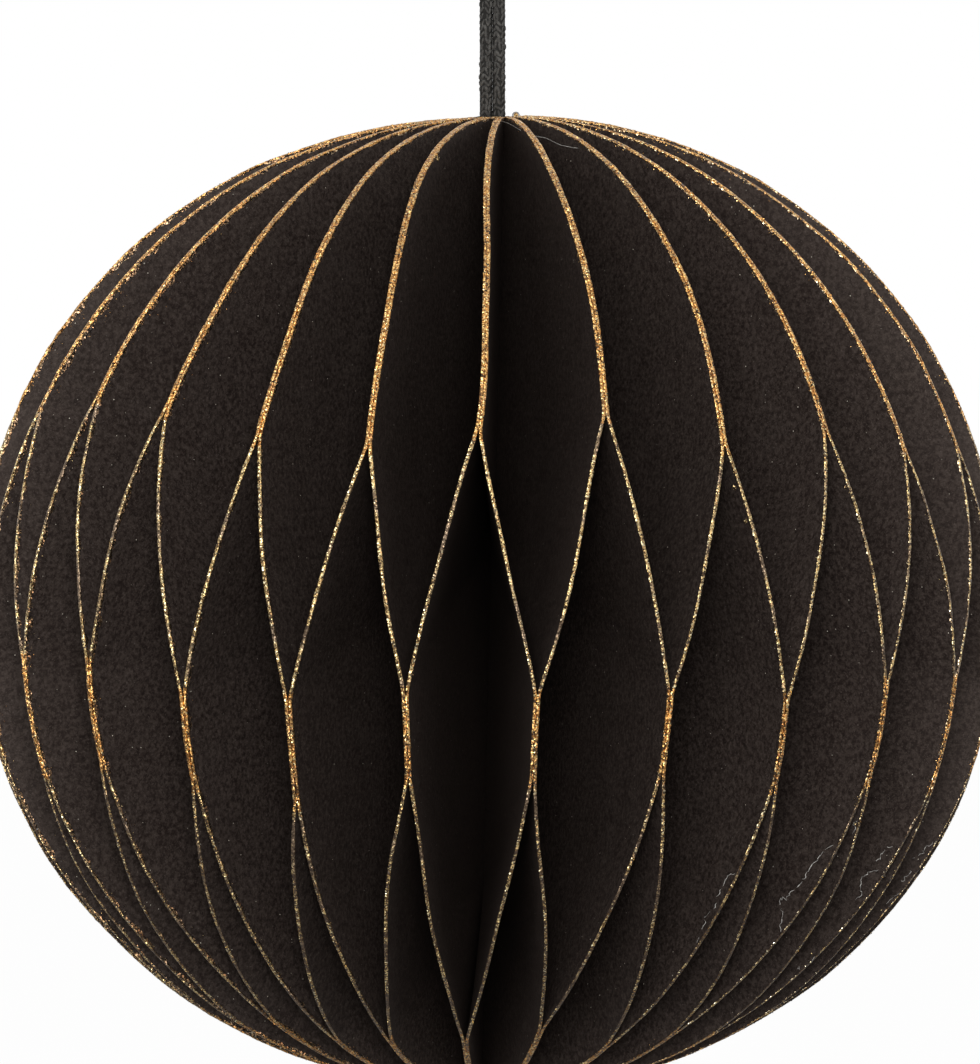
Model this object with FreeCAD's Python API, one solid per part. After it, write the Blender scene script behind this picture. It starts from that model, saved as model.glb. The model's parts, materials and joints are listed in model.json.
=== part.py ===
# Honeycomb paper ball that hangs on a doubled cord.
# Fifty half discs of black card stand round one open core, like pages of a round book.
# Each leaf is glued to one neighbour near the poles and to the other neighbour round the
# middle, so the rims run together and part again in a pattern of long narrow cells.
# The origin is the middle of the ball and the core runs along Z. The front faces minus Y.
import FreeCAD, Part
import math
import os

Vec = FreeCAD.Vector

# Leaves, in millimetres
LEAF_PAIRS = 25
LEAF_RADIUS = 48.0
CARD_THICKNESS = 0.28
GLUE_FILM = 0.01

# Glued seams along the rim: the upper and lower ones are measured from their pole
UPPER_SEAM = 29.7
LOWER_SEAM = 6.7
MIDDLE_SEAM = 9.0
MIDDLE_SEAM_CENTRE = -10.6

# Cord, in millimetres, and its lean to the left of the ball's axis in degrees
CORD_DIAMETER = 1.2
LEG_GAP = 0.05
LEG_TO_CORE_GAP = 0.2
CORD_LEAN = 1.33
KNOT_DIAMETER = 4.4
KNOT_HEIGHT = 4.2
KNOT_ROUNDING = 0.7
KNOT_ABOVE_BALL = 16.0
ANCHOR_HEIGHT = 5.0
ANCHOR_DEPTH = 5.0
ANCHOR_TO_CORE_GAP = 0.1
ANCHOR_ROUNDING = 0.2

# Route of the hanging loop above its knot: each end rises straight, then the points give
# the way sideways from the cord's middle and up from the knot
LOOP_RISE = 3.0
LOOP_POINTS = [(-3.4, 8.3), (-4.9, 14.3), (-4.7, 19.4), (-2.1, 22.8),
               (1.8, 22.9), (4.6, 19.6), (4.8, 14.5), (3.3, 8.5)]

# Unevenness of the hand gluing, one value for each pair, counted round from the front.
# Turns of the seams are in degrees, and moves of their ends are in millimetres.
UPPER_TURN = [-2.0, -1.1, -1.0, -0.1, -0.6, 0.8, 0.4, -0.5, 0.6, 1.0, -0.3, -0.8, 0.5,
              0.9, -0.4, 0.2, -0.7, 0.6, 0.8, 1.2, 1.4, 1.1, 0.3, 0.3, -0.2]
MIDDLE_TURN = [-1.9, -1.3, -1.1, -0.6, -0.5, 0.3, 0.5, 0.0, -0.6, 0.7, 0.9, -0.2, -0.9,
               0.4, 0.8, -0.5, 0.1, -0.6, 0.7, 1.4, 1.7, 0.6, 0.3, -1.0, -2.0]
LOWER_TURN = [-3.3, -2.8, 0.1, 0.1, 0.6, -0.4, 0.9, 0.2, -0.8, 0.6, 1.3, -0.5, -1.1,
              0.7, 0.4, -0.9, 0.8, -0.2, 0.5, -0.6, -1.5, -4.1, -2.5, -5.0, -5.9]
UPPER_SPLIT_MOVE = [0.2, 2.0, -0.9, 0.6, -1.6, -1.2, 0.8, -0.4, 1.1, -0.7, 0.3, 1.4, -1.0,
                    0.5, -0.2, 0.9, -1.3, 0.4, 1.0, -0.6, 0.7, 1.9, 1.0, -1.1, -1.4]
MIDDLE_JOIN_MOVE = [-0.2, 0.1, -0.5, 0.8, 0.7, -0.6, 0.9, 0.2, -0.9, 0.5, -0.3, 1.1, 0.4,
                    -0.8, 0.6, -0.1, 1.0, -0.5, 0.3, -0.7, 0.5, 0.9, -1.5, -1.5, -0.3]
MIDDLE_SPLIT_MOVE = [0.7, 1.3, 0.1, 0.3, -0.5, 0.8, -0.9, 0.4, 0.6, -0.7, 1.0, -0.2, 0.5,
                     -1.1, 0.3, 0.8, -0.4, 0.2, -0.8, 0.6, -0.9, 0.3, -1.0, -2.4, 0.4]
LOWER_JOIN_MOVE = [-0.1, 1.4, -0.6, 0.5, -0.3, 0.8, -0.7, 0.2, 0.9, -0.5, 0.4, -0.8, 0.6,
                   0.1, -0.4, 0.7, -0.2, 0.5, -0.9, 0.3, 0.6, -0.5, 0.9, -0.9, -0.5]

# Sizes that follow from those above
LEAVES = 2 * LEAF_PAIRS
LEAF_PITCH = 360.0 / LEAVES
LEAF_SPACING = CARD_THICKNESS + GLUE_FILM
CORE_RADIUS = LEAF_SPACING / (2 * math.sin(math.radians(LEAF_PITCH / 2)))
UPPER_SPLIT = LEAF_RADIUS - UPPER_SEAM
MIDDLE_JOIN = MIDDLE_SEAM_CENTRE + MIDDLE_SEAM / 2
MIDDLE_SPLIT = MIDDLE_SEAM_CENTRE - MIDDLE_SEAM / 2
LOWER_JOIN = LOWER_SEAM - LEAF_RADIUS
UPPER_CREASE = (UPPER_SPLIT + MIDDLE_JOIN) / 2
LOWER_CREASE = (MIDDLE_SPLIT + LOWER_JOIN) / 2
LEG_SPACING = CORD_DIAMETER + LEG_GAP
LEFT_LEG_X = LEG_TO_CORE_GAP + CORD_DIAMETER / 2 - CORE_RADIUS
CORD_MIDDLE_X = LEFT_LEG_X + LEG_SPACING / 2


def outward(azimuth):
    """Level direction away from the core, turned from the front towards plus X."""
    angle = math.radians(azimuth)
    return Vec(math.sin(angle), -math.cos(angle), 0)


def sideways(azimuth):
    """Level direction across a leaf, towards the next one round."""
    angle = math.radians(azimuth)
    return Vec(math.cos(angle), math.sin(angle), 0)


def uneven(values, pair):
    return values[pair % len(values)]


def at_height(spine, height):
    return Vec(spine.x, spine.y, height)


def rim_point(spine, azimuth, height):
    """Point of the half disc's round edge at a height, where the leaf runs along azimuth."""
    reach = math.sqrt(LEAF_RADIUS ** 2 - height ** 2)
    return at_height(spine, height) + outward(azimuth) * reach


def upright_arc(spine, azimuth, start, end):
    """Rim of a flat upright part of the leaf, from one height to another."""
    middle = (math.asin(start / LEAF_RADIUS) + math.asin(end / LEAF_RADIUS)) / 2
    height = LEAF_RADIUS * math.sin(middle)
    points = (rim_point(spine, azimuth, start), rim_point(spine, azimuth, height),
              rim_point(spine, azimuth, end))
    return Part.Arc(*points).toShape()


def slanted_arc(crease, start, end):
    """Rim of the part that crosses over, still one leaf radius from the ball's middle."""
    along = (start - crease).normalize() + (end - crease).normalize()
    along.normalize()
    drop = crease.z * along.z
    reach = math.sqrt(drop ** 2 + LEAF_RADIUS ** 2 - crease.z ** 2) - drop
    return Part.Arc(start, crease + along * reach, end).toShape()


def panel(rim, corners):
    """Flat part of a leaf between its rim and straight creases through the corners."""
    first, last = rim.Vertexes[0].Point, rim.Vertexes[-1].Point
    path = [last] + corners + [first]
    lines = [Part.LineSegment(a, b).toShape() for a, b in zip(path, path[1:])]
    return Part.Face(Part.Wire([rim] + lines))


def leaf(index):
    """One folded half disc: five flat parts, bent along creases that fan from the spine."""
    azimuth = LEAF_PITCH * (index - 0.5)
    spine = outward(azimuth) * CORE_RADIUS
    pole_pair = index // 2
    middle_pair = (index - 1) // 2 % LEAF_PAIRS
    pole_seam = 2 * LEAF_PITCH * pole_pair
    middle_seam = 2 * LEAF_PITCH * (middle_pair + 0.5) + uneven(MIDDLE_TURN, middle_pair)
    upper_seam = pole_seam + uneven(UPPER_TURN, pole_pair)
    lower_seam = pole_seam + uneven(LOWER_TURN, pole_pair)

    upper_split = UPPER_SPLIT + uneven(UPPER_SPLIT_MOVE, pole_pair)
    middle_join = MIDDLE_JOIN + uneven(MIDDLE_JOIN_MOVE, middle_pair)
    middle_split = MIDDLE_SPLIT + uneven(MIDDLE_SPLIT_MOVE, middle_pair)
    lower_join = LOWER_JOIN + uneven(LOWER_JOIN_MOVE, pole_pair)

    top = at_height(spine, LEAF_RADIUS)
    bottom = at_height(spine, -LEAF_RADIUS)
    upper_crease = at_height(spine, UPPER_CREASE)
    lower_crease = at_height(spine, LOWER_CREASE)

    rims = [
        upright_arc(spine, upper_seam, LEAF_RADIUS, upper_split),
        slanted_arc(upper_crease, rim_point(spine, upper_seam, upper_split),
                    rim_point(spine, middle_seam, middle_join)),
        upright_arc(spine, middle_seam, middle_join, middle_split),
        slanted_arc(lower_crease, rim_point(spine, middle_seam, middle_split),
                    rim_point(spine, lower_seam, lower_join)),
        upright_arc(spine, lower_seam, lower_join, -LEAF_RADIUS),
    ]
    corners = [[upper_crease], [upper_crease], [lower_crease, upper_crease],
               [lower_crease], [lower_crease]]
    panels = [panel(rim, inner) for rim, inner in zip(rims, corners)]
    spine_path = [top, upper_crease, lower_crease, bottom]
    spine_lines = [Part.LineSegment(a, b).toShape() for a, b in zip(spine_path, spine_path[1:])]

    across = sideways(azimuth) * CARD_THICKNESS
    faces = [face.extrude(across) for face in rims + spine_lines]
    faces += panels + [face.translated(across) for face in panels]
    solid = Part.Solid(Part.Shell(faces))
    if solid.Volume < 0:
        solid.reverse()
    solid.translate(across * -0.5)
    return solid


def tube(points, name):
    """Plain cord along straight runs joined by the largest tangent arcs that fit."""
    edges = []
    radii = []
    start = points[0]
    for before, point, after in zip(points, points[1:], points[2:]):
        inward = before - point
        onward = after - point
        shorter = min(inward.Length, onward.Length)
        half_turn = (math.pi - inward.getAngle(onward)) / 2
        radius = 0.45 * shorter / math.tan(half_turn)
        radii.append(round(radius, 1))
        inward.normalize()
        onward.normalize()
        arc_start = point + inward * (0.45 * shorter)
        arc_end = point + onward * (0.45 * shorter)
        middle_way = (inward + onward).normalize()
        arc_middle = point + middle_way * (radius / math.cos(half_turn) - radius)
        edges.append(Part.LineSegment(start, arc_start).toShape())
        edges.append(Part.Arc(arc_start, arc_middle, arc_end).toShape())
        start = arc_end
    edges.append(Part.LineSegment(start, points[-1]).toShape())
    path = Part.Wire(edges)
    radius = CORD_DIAMETER / 2
    section = Part.Wire(Part.makeCircle(radius, points[0], points[1] - points[0]))
    solid = path.makePipeShell([section], True, True)
    expected = math.pi * radius ** 2 * path.Length
    print(name, "radii", radii, "length", round(path.Length, 2),
          "volume", round(solid.Volume, 2), "section times length", round(expected, 2))
    return solid


def knot(diameter, height, rounding, middle_x, base_z):
    """Plain barrel as large as the knot, with flat ends for the cord to meet."""
    barrel = Part.makeCylinder(diameter / 2, height, Vec(middle_x, 0, base_z))
    ends = [edge for edge in barrel.Edges if len(edge.Vertexes) == 1]
    return barrel.makeFillet(rounding, ends)


def lean(shape):
    """Tips a piece of the cord, drawn upright above the pole, to hang as the cord hangs."""
    shape.rotate(Vec(0, 0, 0), Vec(0, 1, 0), -CORD_LEAN)
    shape.translate(Vec(0, 0, LEAF_RADIUS))
    return shape


def cord():
    """Two legs out of the core, a knot that ties them, the loop above and the knot inside."""
    left = LEFT_LEG_X
    right = LEFT_LEG_X + LEG_SPACING
    knot_top = KNOT_ABOVE_BALL + KNOT_HEIGHT
    anchor_top = -ANCHOR_DEPTH
    anchor_middle = anchor_top - ANCHOR_HEIGHT / 2
    anchor_x = anchor_middle * math.sin(math.radians(CORD_LEAN))
    anchor_diameter = 2 * (CORE_RADIUS - ANCHOR_TO_CORE_GAP)
    loop = [Vec(left, 0, knot_top), Vec(left, 0, knot_top + LOOP_RISE)]
    loop += [Vec(CORD_MIDDLE_X + x, 0, knot_top + z) for x, z in LOOP_POINTS]
    loop += [Vec(right, 0, knot_top + LOOP_RISE), Vec(right, 0, knot_top)]
    return {
        "cord_leg_left": tube([Vec(left, 0, anchor_top), Vec(left, 0, KNOT_ABOVE_BALL)], "left leg"),
        "cord_leg_right": tube([Vec(right, 0, anchor_top), Vec(right, 0, KNOT_ABOVE_BALL)], "right leg"),
        "cord_loop": tube(loop, "loop"),
        "cord_knot": knot(KNOT_DIAMETER, KNOT_HEIGHT, KNOT_ROUNDING, CORD_MIDDLE_X, KNOT_ABOVE_BALL),
        "cord_anchor_knot": knot(anchor_diameter, ANCHOR_HEIGHT, ANCHOR_ROUNDING, anchor_x,
                                 anchor_top - ANCHOR_HEIGHT),
    }


os.makedirs("parts", exist_ok=True)
for index in range(LEAVES):
    leaf(index).exportStep("parts/leaf_%02d.step" % (index + 1))
for name, shape in cord().items():
    lean(shape).exportStep("parts/%s.step" % name)
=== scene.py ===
import json
import math

import bpy
import numpy as np
from mathutils import Matrix, Vector
from mathutils.bvhtree import BVHTree

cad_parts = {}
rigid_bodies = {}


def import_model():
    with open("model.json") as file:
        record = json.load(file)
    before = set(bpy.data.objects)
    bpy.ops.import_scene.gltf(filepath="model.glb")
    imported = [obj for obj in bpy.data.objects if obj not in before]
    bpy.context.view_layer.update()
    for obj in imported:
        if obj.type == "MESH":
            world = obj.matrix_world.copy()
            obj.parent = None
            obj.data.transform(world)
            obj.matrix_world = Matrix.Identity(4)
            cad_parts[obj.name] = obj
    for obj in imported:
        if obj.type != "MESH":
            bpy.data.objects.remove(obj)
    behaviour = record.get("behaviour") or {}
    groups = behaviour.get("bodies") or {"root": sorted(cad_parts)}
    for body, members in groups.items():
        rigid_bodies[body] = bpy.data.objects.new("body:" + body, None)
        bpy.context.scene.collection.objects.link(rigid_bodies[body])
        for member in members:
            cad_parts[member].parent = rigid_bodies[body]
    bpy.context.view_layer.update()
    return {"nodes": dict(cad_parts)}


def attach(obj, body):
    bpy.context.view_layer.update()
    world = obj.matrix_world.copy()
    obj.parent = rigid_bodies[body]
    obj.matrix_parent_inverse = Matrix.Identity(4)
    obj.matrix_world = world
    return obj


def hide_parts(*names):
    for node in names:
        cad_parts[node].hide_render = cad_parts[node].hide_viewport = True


# Looks of a honeycomb paper ball: fifty half discs of black card with glittered rims,
# hung on a doubled knitted cord. Sizes are in millimetres and are turned to metres by MM.
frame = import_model()

MM = 0.001

# Card, as the frame's leaves have it
CARD_THICKNESS = 0.28
LEAF_RADIUS = 48.0
MIDDLE_SEAM_CENTRE = -10.6
LEAVES = sorted(name for name in frame["nodes"] if name.startswith("leaf_"))

# Photograph's frame in pixels, and how the camera stands to the ball
PHOTO_SIZE = (980, 1064)
BALL_MIDDLE_PIXEL = (490.1, 601.5)
PIXELS_PER_MM = 10.094
CAMERA_DISTANCE = 1200.0
CAMERA_ELEVATION = math.radians(2.5)
CAMERA_ROLL = math.radians(-1.33)
SENSOR = 36.0

# Cord, as the frame's tubes have it: the points are sideways and up from the pole, in the
# cord's own leaning line
CORD_DIAMETER = 1.2
CORD_LEAN = math.radians(-1.33)
CORD_ROUTE = [(-1.509, -5.0), (-1.509, 16.0), (-1.509, 20.2), (-1.509, 23.2), (-4.284, 28.5),
              (-5.784, 34.5), (-5.584, 39.6), (-2.984, 43.0), (0.916, 43.1), (3.716, 39.8),
              (3.916, 34.7), (2.416, 28.7), (-0.259, 23.2), (-0.259, 20.2), (-0.259, 16.0),
              (-0.259, -5.0)]


def hang(x, z, y=0.0):
    """Point beside the cord's leaning line above the pole, in metres in the ball's frame."""
    c, s = math.cos(CORD_LEAN), math.sin(CORD_LEAN)
    return Vector((x * c + z * s, y, LEAF_RADIUS - x * s + z * c)) * MM


class View:
    """Where the camera stands, in millimetres, and the way through each pixel of the frame."""

    def __init__(self):
        self.sight = Vector((0, math.cos(CAMERA_ELEVATION), -math.sin(CAMERA_ELEVATION)))
        level_up = Vector((0, math.sin(CAMERA_ELEVATION), math.cos(CAMERA_ELEVATION)))
        c, s = math.cos(CAMERA_ROLL), math.sin(CAMERA_ROLL)
        self.right = Vector((1, 0, 0)) * c - level_up * s
        self.up = Vector((1, 0, 0)) * s + level_up * c
        across = (BALL_MIDDLE_PIXEL[0] - PHOTO_SIZE[0] / 2) / PIXELS_PER_MM
        down = (BALL_MIDDLE_PIXEL[1] - PHOTO_SIZE[1] / 2) / PIXELS_PER_MM
        self.place = -self.sight * CAMERA_DISTANCE - self.right * across + self.up * down

    def way(self, x, y):
        focal = PIXELS_PER_MM * CAMERA_DISTANCE
        way = (self.sight * focal + self.right * (x - PHOTO_SIZE[0] / 2)
               - self.up * (y - PHOTO_SIZE[1] / 2))
        return way.normalized()


def make_camera(view):
    data = bpy.data.cameras.new("photo_camera")
    data.sensor_width = SENSOR
    data.lens = PIXELS_PER_MM * CAMERA_DISTANCE / max(PHOTO_SIZE) * SENSOR
    data.clip_start = 0.01
    data.clip_end = 50.0
    camera = bpy.data.objects.new("photo_camera", data)
    bpy.context.scene.collection.objects.link(camera)
    axes = Matrix((view.right, view.up, -view.sight)).transposed().to_4x4()
    camera.matrix_world = Matrix.Translation(view.place * MM) @ axes
    bpy.context.scene.camera = camera


def link(name, vertices, faces, materials, smooth=True):
    """Mesh object from arrays: faces come in blocks, each with one number of corners."""
    mesh = bpy.data.meshes.new(name)
    loops = np.concatenate([block.ravel() for block in faces])
    counts = np.concatenate([np.full(len(block), block.shape[1]) for block in faces])
    starts = np.concatenate([[0], np.cumsum(counts)[:-1]])
    mesh.vertices.add(len(vertices))
    mesh.vertices.foreach_set("co", np.ascontiguousarray(vertices, dtype=np.float32).ravel())
    mesh.loops.add(len(loops))
    mesh.loops.foreach_set("vertex_index", loops.astype(np.int32))
    mesh.polygons.add(len(counts))
    mesh.polygons.foreach_set("loop_start", starts.astype(np.int32))
    mesh.polygons.foreach_set("use_smooth", np.full(len(counts), smooth))
    for material in materials:
        mesh.materials.append(material)
    mesh.update(calc_edges=True)
    mesh.validate()
    piece = bpy.data.objects.new(name, mesh)
    bpy.context.scene.collection.objects.link(piece)
    return piece


# Material slots of a leaf
CARD, SEAM_GOLD, LINT, RIM_GOLD, SPILLED_GOLD = range(5)


class Nodes:
    """Short way to write a material's nodes."""

    def __init__(self, name):
        self.material = bpy.data.materials.new(name)
        self.material.use_nodes = True
        self.tree = self.material.node_tree
        self.shader = self.tree.nodes["Principled BSDF"]
        coordinates = self.tree.nodes.new("ShaderNodeTexCoord")
        self.place = coordinates.outputs["Object"]

    def add(self, kind, **settings):
        node = self.tree.nodes.new(kind)
        for key, value in settings.items():
            if key in node.inputs:
                node.inputs[key].default_value = value
            else:
                setattr(node, key, value)
        return node

    def join(self, output, node, socket):
        self.tree.links.new(output, node.inputs[socket])

    def noise(self, per_mm, detail=2.0, roughness=0.5):
        node = self.add("ShaderNodeTexNoise", Scale=per_mm / MM, Detail=detail, Roughness=roughness)
        self.join(self.place, node, "Vector")
        return node.outputs["Fac"]

    def cells(self, per_mm, output="Color", **settings):
        node = self.add("ShaderNodeTexVoronoi", Scale=per_mm / MM, **settings)
        self.join(self.place, node, "Vector")
        return node.outputs[output]

    def ramp(self, value, stops):
        node = self.add("ShaderNodeValToRGB")
        elements = node.color_ramp.elements
        while len(elements) < len(stops):
            elements.new(0.5)
        for element, (position, colour) in zip(elements, stops):
            element.position = position
            element.color = (*colour, 1.0)
        self.join(value, node, "Fac")
        return node.outputs["Color"]

    def span(self, value, low, high, to_low=0.0, to_high=1.0):
        node = self.add("ShaderNodeMapRange")
        for key, number in (("From Min", low), ("From Max", high), ("To Min", to_low),
                            ("To Max", to_high)):
            node.inputs[key].default_value = number
        self.join(value, node, "Value")
        return node.outputs["Result"]

    def maths(self, operation, a, b):
        node = self.add("ShaderNodeMath", operation=operation)
        for socket, value in ((0, a), (1, b)):
            if isinstance(value, float):
                node.inputs[socket].default_value = value
            else:
                self.join(value, node, socket)
        return node.outputs["Value"]

    def mix(self, amount, a, b):
        node = self.add("ShaderNodeMix", data_type="RGBA")
        for socket, value in (("Factor", amount), ("A", a), ("B", b)):
            found = [s for s in node.inputs if s.name == socket and s.enabled][0]
            if isinstance(value, tuple):
                found.default_value = (*value, 1.0)
            elif isinstance(value, float):
                found.default_value = value
            else:
                self.tree.links.new(value, found)
        return [s for s in node.outputs if s.enabled][0]

    def bump(self, height, strength, distance_mm):
        node = self.add("ShaderNodeBump", Strength=strength, Distance=distance_mm * MM)
        self.join(height, node, "Height")
        return node.outputs["Normal"]

    def facets(self, cell_colour, amount):
        """Normal tipped by each cell's own random direction, as flat grains lie."""
        middle = self.add("ShaderNodeVectorMath", operation="SUBTRACT")
        self.join(cell_colour, middle, 0)
        middle.inputs[1].default_value = (0.5, 0.5, 0.5)
        longer = self.add("ShaderNodeVectorMath", operation="SCALE")
        self.join(middle.outputs["Vector"], longer, 0)
        longer.inputs["Scale"].default_value = amount
        geometry = self.add("ShaderNodeNewGeometry")
        tipped = self.add("ShaderNodeVectorMath", operation="ADD")
        self.join(longer.outputs["Vector"], tipped, 0)
        self.join(geometry.outputs["Normal"], tipped, 1)
        unit = self.add("ShaderNodeVectorMath", operation="NORMALIZE")
        self.join(tipped.outputs["Vector"], unit, 0)
        return unit.outputs["Vector"]


CARD_ROUGHNESS = 0.55
CARD_GLOSS = 0.19
CARD_GLOSS_TINT = (1.0, 0.82, 0.72, 1.0)
DUST_PER_MM = 2.6


def card_material():
    """Black uncoated card: soft mottling, short fibres, a dull gloss and a little pale dust."""
    n = Nodes("black_card")
    cloud = n.noise(0.25, 3.0, 0.6)
    mottle = n.noise(2.2, 4.0, 0.7)
    grain = n.noise(5.5, 2.0, 0.7)
    tone = n.mix(n.span(cloud, 0.3, 0.7), (0.0155, 0.0105, 0.0090), (0.0210, 0.0153, 0.0133))
    tone = n.mix(n.span(mottle, 0.44, 0.68, 0.0, 0.75), tone, (0.061, 0.047, 0.040))
    tone = n.mix(n.span(mottle, 0.30, 0.46, 0.7, 0.0), tone, (0.0074, 0.0051, 0.0044))
    tone = n.mix(n.span(grain, 0.56, 0.74, 0.0, 0.6), tone, (0.090, 0.072, 0.063))
    chosen = n.add("ShaderNodeSeparateColor")
    n.join(n.cells(DUST_PER_MM, "Color"), chosen, "Color")
    pick = n.span(chosen.outputs["Red"], 0.955, 0.957)
    round_speck = n.span(n.cells(DUST_PER_MM, "Distance"), 0.10, 0.16, 1.0, 0.0)
    speck = n.maths("MULTIPLY", round_speck, pick)
    dust = n.mix(n.span(chosen.outputs["Green"], 0.3, 0.9), (0.09, 0.08, 0.07),
                 (0.66, 0.61, 0.51))
    tone = n.mix(speck, tone, dust)
    n.join(tone, n.shader, "Base Color")
    n.shader.inputs["Roughness"].default_value = CARD_ROUGHNESS
    n.shader.inputs["Specular IOR Level"].default_value = CARD_GLOSS
    n.shader.inputs["Specular Tint"].default_value = CARD_GLOSS_TINT
    n.join(n.bump(grain, 0.5, 0.05), n.shader, "Normal")
    return n.material


JOINED_TINTS = [(0.0, (0.13, 0.052, 0.018)), (0.3, (0.40, 0.182, 0.056)), (0.6, (0.66, 0.35, 0.11)),
                (0.85, (0.94, 0.60, 0.22)), (1.0, (1.0, 0.85, 0.47))]
SINGLE_TINTS = [(0.0, (0.10, 0.055, 0.022)), (0.3, (0.33, 0.20, 0.09)), (0.55, (0.62, 0.44, 0.19)),
                (0.8, (0.92, 0.70, 0.33)), (1.0, (1.0, 0.92, 0.62))]
SPILL_TINTS = [(0.0, (0.12, 0.056, 0.026)), (0.4, (0.32, 0.19, 0.10)), (0.75, (0.56, 0.41, 0.26)),
               (0.92, (0.88, 0.68, 0.42)), (1.0, (1.0, 0.92, 0.70))]
BARE_GLUE = (0.060, 0.036, 0.020)
BARE_CARD = (0.022, 0.016, 0.014)
DULL_GRAIN = (0.23, 0.165, 0.115)
GRAINS_PER_MM = 7.5
GRAIN_TILT = 1.15
GRAIN_ROUGHNESS = 0.34
GLUE_GLOSS = 0.30


def glitter_material(name, tints, bare_tone, cover_shaded_below, cover_high, dull):
    """Gold to copper grains: each cell is one grain with its own tilt and tint. Fewer cells are
    covered on the lower rims and on those to the right, so these show more of what lies between.
    The loss towards the bottom is painted shade, as the light from above falls less on the lower
    rims."""
    n = Nodes(name)
    grain = n.cells(GRAINS_PER_MM, "Color", Randomness=1.0)
    split = n.add("ShaderNodeSeparateColor")
    n.join(grain, split, "Color")
    tint = n.ramp(split.outputs["Red"], tints)
    where = n.add("ShaderNodeSeparateXYZ")
    n.join(n.place, where, "Vector")
    # Cover drops towards the bottom: painted shade, where the light from above falls less.
    cover_and_painted_shade = n.span(where.outputs["Z"], -0.026, 0.004, cover_shaded_below, cover_high)
    cover_and_painted_shade = n.maths("ADD", cover_and_painted_shade, n.span(where.outputs["X"], -0.04, 0.04, 0.10, -0.06))
    cover_and_painted_shade = n.maths("ADD", cover_and_painted_shade, n.span(n.noise(0.55, 2.0, 0.6), 0.3, 0.7, -0.22, 0.22))
    tint = n.mix(n.span(n.noise(0.33, 2.0, 0.5), 0.36, 0.52, dull, 0.0), tint, DULL_GRAIN)
    bare = n.maths("GREATER_THAN", split.outputs["Green"], cover_and_painted_shade)
    tint = n.mix(bare, tint, bare_tone)
    n.join(tint, n.shader, "Base Color")
    n.join(n.facets(grain, GRAIN_TILT), n.shader, "Normal")
    n.join(n.maths("SUBTRACT", 1.0, bare), n.shader, "Metallic")
    n.shader.inputs["Roughness"].default_value = GRAIN_ROUGHNESS
    n.shader.inputs["Specular IOR Level"].default_value = GLUE_GLOSS
    return n.material


def cord_material(name, low, middle, high):
    """Black cotton yarn, greyed by its fuzz."""
    n = Nodes(name)
    fibre = n.noise(11.0, 4.0, 0.75)
    strand = n.noise(2.2, 2.0, 0.6)
    tone = n.mix(n.span(fibre, 0.3, 0.75), low, middle)
    tone = n.mix(n.span(strand, 0.45, 0.75, 0.0, 0.6), tone, high)
    n.join(tone, n.shader, "Base Color")
    n.shader.inputs["Roughness"].default_value = 0.95
    n.shader.inputs["Specular IOR Level"].default_value = 0.1
    n.join(n.bump(fibre, 0.6, 0.04), n.shader, "Normal")
    return n.material


def lint_material():
    """Pale fibre and dried glue that cling to the card."""
    n = Nodes("pale_lint")
    n.join(n.mix(n.span(n.noise(3.0, 2.0, 0.6), 0.3, 0.7), (0.15, 0.14, 0.13),
                 (0.55, 0.53, 0.49)), n.shader, "Base Color")
    n.shader.inputs["Roughness"].default_value = 0.7
    return n.material


def route_points():
    """Centre line of the cord: an open spline with the route's points as its control points."""
    curve = bpy.data.curves.new("cord_route", "CURVE")
    curve.dimensions = "3D"
    curve.resolution_u = 40
    spline = curve.splines.new("NURBS")
    spline.points.add(len(CORD_ROUTE) - 1)
    for point, (x, z) in zip(spline.points, CORD_ROUTE):
        point.co = (*hang(x, z), 1.0)
    spline.order_u = 3
    spline.use_endpoint_u = True
    holder = bpy.data.objects.new("cord_route", curve)
    line = bpy.data.meshes.new_from_object(holder)
    points = np.array([vertex.co[:] for vertex in line.vertices])
    bpy.data.meshes.remove(line)
    bpy.data.objects.remove(holder)
    bpy.data.curves.remove(curve)
    return points


def along(points, step):
    """Points at even steps along a line, with the direction and two cross directions there."""
    lengths = np.concatenate([[0], np.cumsum(np.linalg.norm(np.diff(points, axis=0), axis=1))])
    stations = np.arange(0, lengths[-1], step)
    places = np.stack([np.interp(stations, lengths, points[:, i]) for i in range(3)], axis=1)
    ways = np.gradient(places, axis=0)
    ways /= np.linalg.norm(ways, axis=1)[:, None]
    depth = np.tile(np.array([0.0, 1.0, 0.0]), (len(places), 1))
    depth -= (depth * ways).sum(axis=1)[:, None] * ways
    depth /= np.linalg.norm(depth, axis=1)[:, None]
    side = np.cross(depth, ways)
    return places, ways, side, depth


def grid_faces(rows, columns, first=0, closed=False):
    """Quads of a grid of vertices, counted row by row; closed joins each row's ends."""
    r = np.arange(rows - 1)[:, None]
    c = np.arange(columns if closed else columns - 1)[None, :]
    following = (c + 1) % columns
    a = first + r * columns + c
    b = first + r * columns + following
    return np.stack([a, b, b + columns, a + columns], axis=2).reshape(-1, 4)


STITCH_PITCH = 0.60
STITCH_LENGTH = 0.90
STITCH_WIDTH = 0.155
STITCH_REACH = 0.42
CORE_WIDE = 1.035
CORE_DEEP = 0.93
CORE_STEP = 0.5
CORE_RING = 10
STITCH_LEAN = 0.38
STITCH_COLUMNS = 4
STITCH_RING = 7
STITCH_ROWS = (-1.0, -0.55, 0.0, 0.55, 1.0)


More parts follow.
